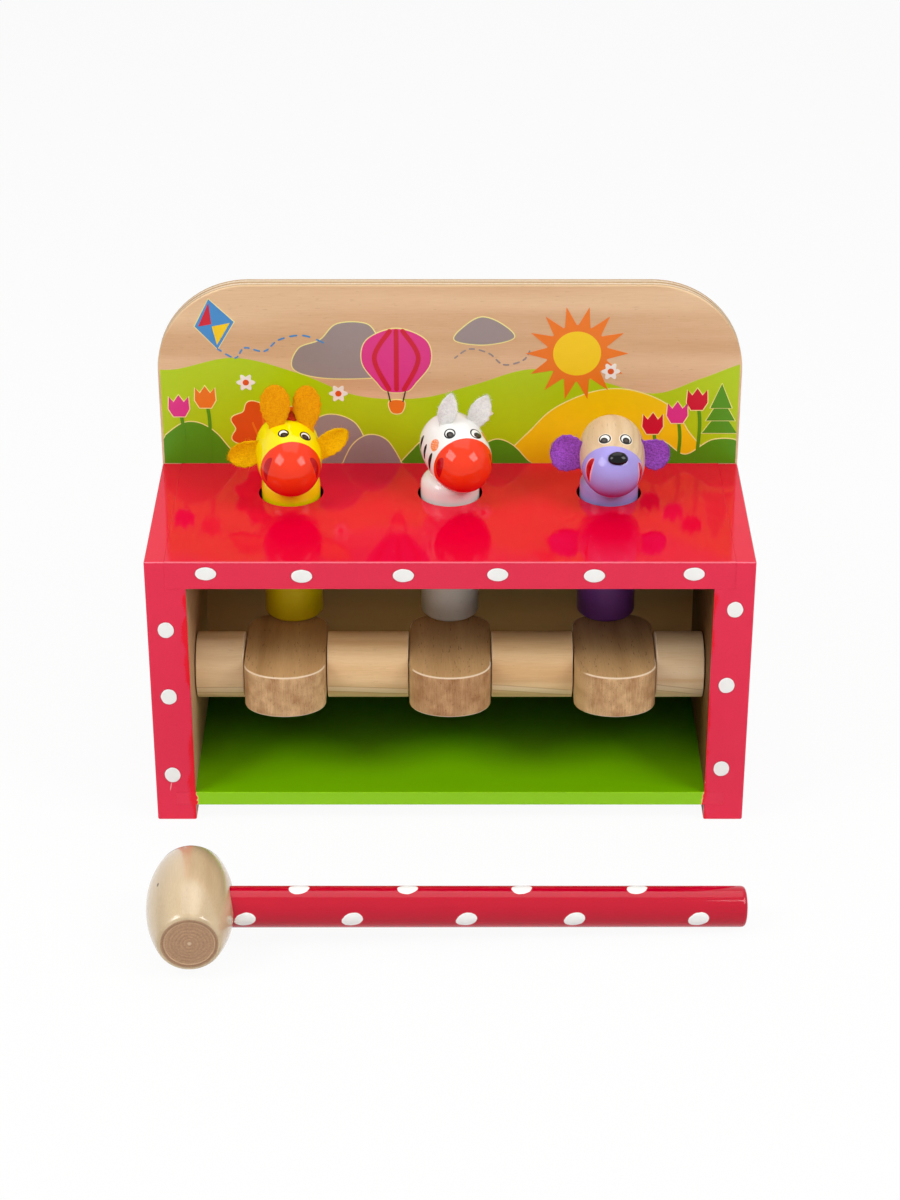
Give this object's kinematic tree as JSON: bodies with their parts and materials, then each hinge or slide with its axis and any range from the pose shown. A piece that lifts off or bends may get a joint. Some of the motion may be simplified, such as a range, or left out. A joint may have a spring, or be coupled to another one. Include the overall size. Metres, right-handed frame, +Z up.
{
  "type": "pounding bench",
  "caption": "Wooden pounding bench with animal pegs that slide in its top onto see-saw levers, a tall back board and a loose mallet.",
  "frame": {"origin": "bottom centre of the box round the whole set, which is the bench with the mallet lying in front of it, on the surface that they stand on", "axes": "+X to the player's right along the bench, +Y away from the player towards the back board, +Z up"},
  "size_m": [0.24, 0.2058, 0.2],
  "materials": {
    "red_paint": "gloss red paint on wood with white dots",
    "green_paint": "satin green paint on wood",
    "plywood": "clear varnish over printed plywood",
    "bare_wood": "smooth turned wood",
    "lever_wood": "sanded wood with open grain",
    "mallet_wood": "varnished turned wood",
    "rod_steel": "bright drawn steel",
    "screw_steel": "zinc plate",
    "yellow_paint": "gloss yellow paint on wood",
    "white_paint": "gloss white paint on wood",
    "purple_paint": "gloss purple paint on wood",
    "dog_head_wood": "varnished wood with a lilac snout",
    "yellow_felt": "wool felt",
    "orange_felt": "wool felt",
    "red_felt": "wool felt",
    "white_felt": "fuzzy wool felt",
    "purple_felt": "fuzzy wool felt",
    "black_gloss": "high gloss"
  },
  "bodies": {
    "bench": {"left_side_panel": "red_paint", "right_side_panel": "red_paint", "top_board": "red_paint", "base_shelf": "green_paint", "back_board": "plywood", "axle_rod": "rod_steel", "back_screw_1": "screw_steel", "back_screw_2": "screw_steel", "back_screw_3": "screw_steel", "back_screw_4": "screw_steel", "back_screw_5": "screw_steel", "back_screw_6": "screw_steel", "back_screw_7": "screw_steel", "back_screw_8": "screw_steel"},
    "left_outer_spacer": {"left_outer_spacer": "bare_wood"},
    "left_inner_spacer": {"left_inner_spacer": "bare_wood"},
    "right_inner_spacer": {"right_inner_spacer": "bare_wood"},
    "right_outer_spacer": {"right_outer_spacer": "bare_wood"},
    "giraffe_lever": {"giraffe_lever": "lever_wood"},
    "zebra_lever": {"zebra_lever": "lever_wood"},
    "dog_lever": {"dog_lever": "lever_wood"},
    "giraffe": {"giraffe_peg": "yellow_paint", "giraffe_head": "yellow_paint", "giraffe_head_dowel": "bare_wood", "giraffe_left_ear": "yellow_felt", "giraffe_right_ear": "yellow_felt", "giraffe_left_horn": "orange_felt", "giraffe_right_horn": "orange_felt", "giraffe_tuft": "red_felt"},
    "zebra": {"zebra_peg": "white_paint", "zebra_head": "white_paint", "zebra_head_dowel": "bare_wood", "zebra_left_ear": "white_felt", "zebra_right_ear": "white_felt"},
    "dog": {"dog_peg": "purple_paint", "dog_head": "dog_head_wood", "dog_head_dowel": "bare_wood", "dog_left_ear": "purple_felt", "dog_right_ear": "purple_felt", "dog_nose": "black_gloss"},
    "mallet": {"mallet_head": "mallet_wood", "mallet_handle": "red_paint"}
  },
  "joints": [
    {"name": "left_outer_spacer_spin", "type": "hinge", "parent": "bench", "child": "left_outer_spacer", "pos_m": [-0.09375, 0.03979, 0.0557], "axis": [1, 0, 0], "continuous": true},
    {"name": "left_inner_spacer_spin", "type": "hinge", "parent": "bench", "child": "left_inner_spacer", "pos_m": [-0.0335, 0.03979, 0.0557], "axis": [1, 0, 0], "continuous": true},
    {"name": "right_inner_spacer_spin", "type": "hinge", "parent": "bench", "child": "right_inner_spacer", "pos_m": [0.0335, 0.03979, 0.0557], "axis": [1, 0, 0], "continuous": true},
    {"name": "right_outer_spacer_spin", "type": "hinge", "parent": "bench", "child": "right_outer_spacer", "pos_m": [0.09375, 0.03979, 0.0557], "axis": [1, 0, 0], "continuous": true},
    {"name": "giraffe_lever_tilt", "type": "hinge", "parent": "bench", "child": "giraffe_lever", "pos_m": [-0.067, 0.03979, 0.0557], "axis": [-1, 0, 0], "range_deg": [0, 15]},
    {"name": "zebra_lever_tilt", "type": "hinge", "parent": "bench", "child": "zebra_lever", "pos_m": [0, 0.03979, 0.0557], "axis": [-1, 0, 0], "range_deg": [0, 15]},
    {"name": "dog_lever_tilt", "type": "hinge", "parent": "bench", "child": "dog_lever", "pos_m": [0.067, 0.03979, 0.0557], "axis": [-1, 0, 0], "range_deg": [0, 15]},
    {"name": "giraffe_peg_slide", "type": "slide", "parent": "bench", "child": "giraffe", "axis": [0, 0, -1], "range_m": [0, 0.0045]},
    {"name": "zebra_peg_slide", "type": "slide", "parent": "bench", "child": "zebra", "axis": [0, 0, -1], "range_m": [0, 0.0045]},
    {"name": "dog_peg_slide", "type": "slide", "parent": "bench", "child": "dog", "axis": [0, 0, -1], "range_m": [0, 0.0045]},
    {"name": "mallet_lift", "type": "slide", "parent": "bench", "child": "mallet", "axis": [0, 0, 1], "range_m": [0, 0.15]}
  ],
  "couplings": [
    {"joint": "giraffe_peg_slide", "follows": "giraffe_lever_tilt", "m_per_rad": 0.017},
    {"joint": "zebra_peg_slide", "follows": "zebra_lever_tilt", "m_per_rad": 0.017},
    {"joint": "dog_peg_slide", "follows": "dog_lever_tilt", "m_per_rad": 0.017}
  ]
}
